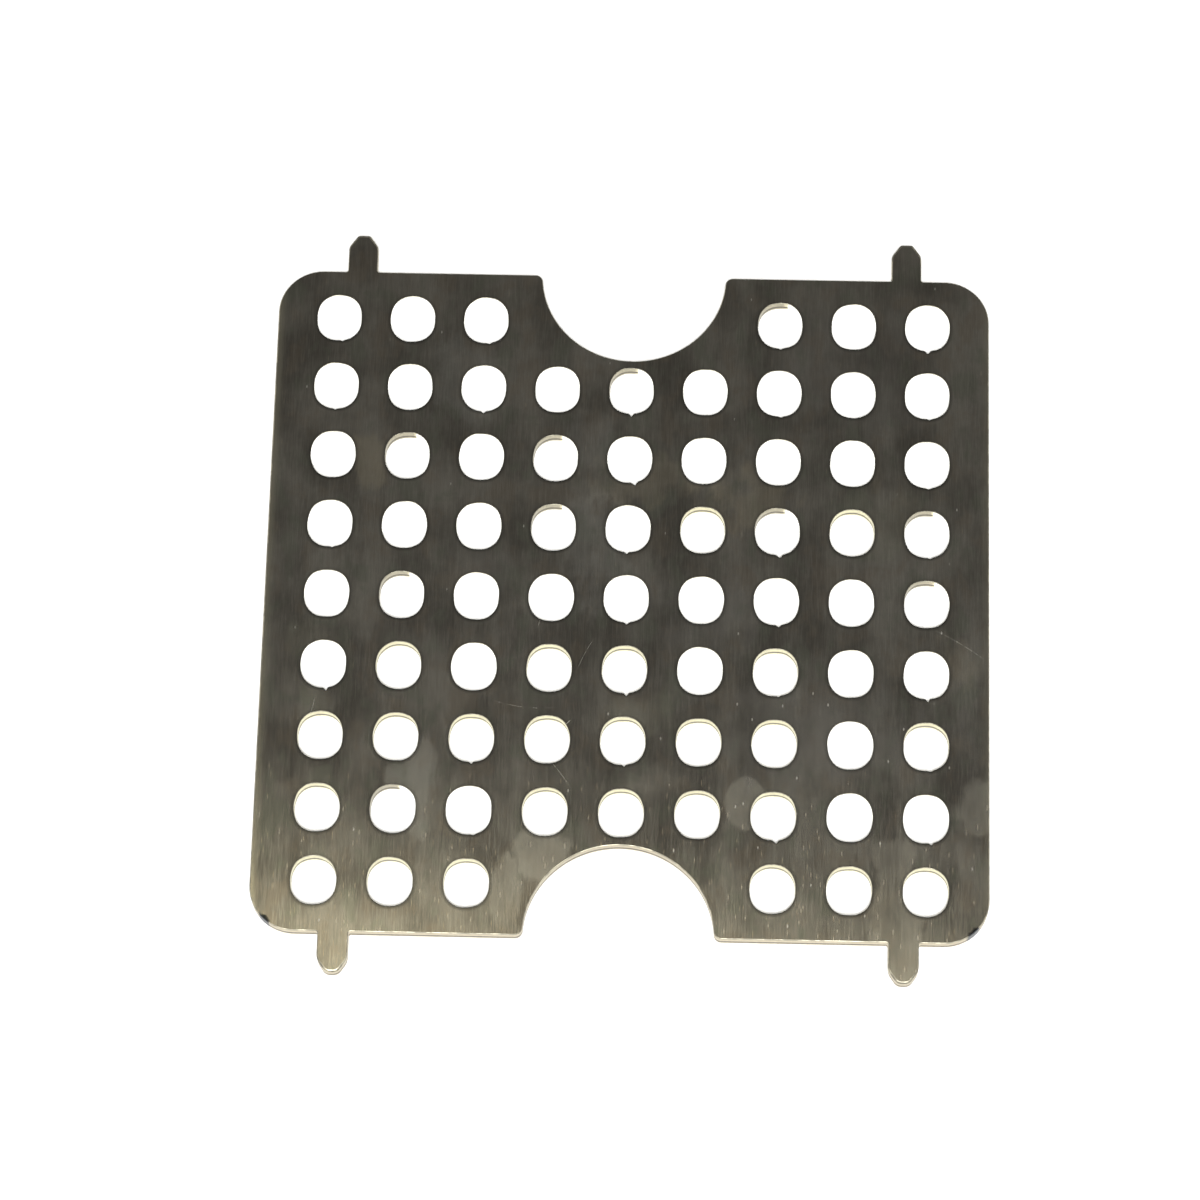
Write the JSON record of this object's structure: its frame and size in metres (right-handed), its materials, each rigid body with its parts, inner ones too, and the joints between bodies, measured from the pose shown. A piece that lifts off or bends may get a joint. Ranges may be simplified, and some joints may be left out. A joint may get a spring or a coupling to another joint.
{
  "type": "queen excluder plate",
  "caption": "Flat brushed steel sheet with a square pattern of nearly round bee passages, an arc notch in the middle of both ends and narrow locating tabs in its plane.",
  "frame": {"origin": "middle of the back face, under the middle of the passage pattern", "axes": "+Z is the sheet's normal, out of the brushed front face; +Y runs along the tabs and the brushing; +X runs across the sheet"},
  "size_m": [0.0772, 0.0838, 0.0015],
  "materials": {
    "brushed_sheet": "stainless sheet brushed along the tabs, with pale bare cut edges, faint tint patches and light handling scratches"
  },
  "bodies": {
    "root": {"excluder_sheet": "brushed_sheet"}
  },
  "joints": []
}
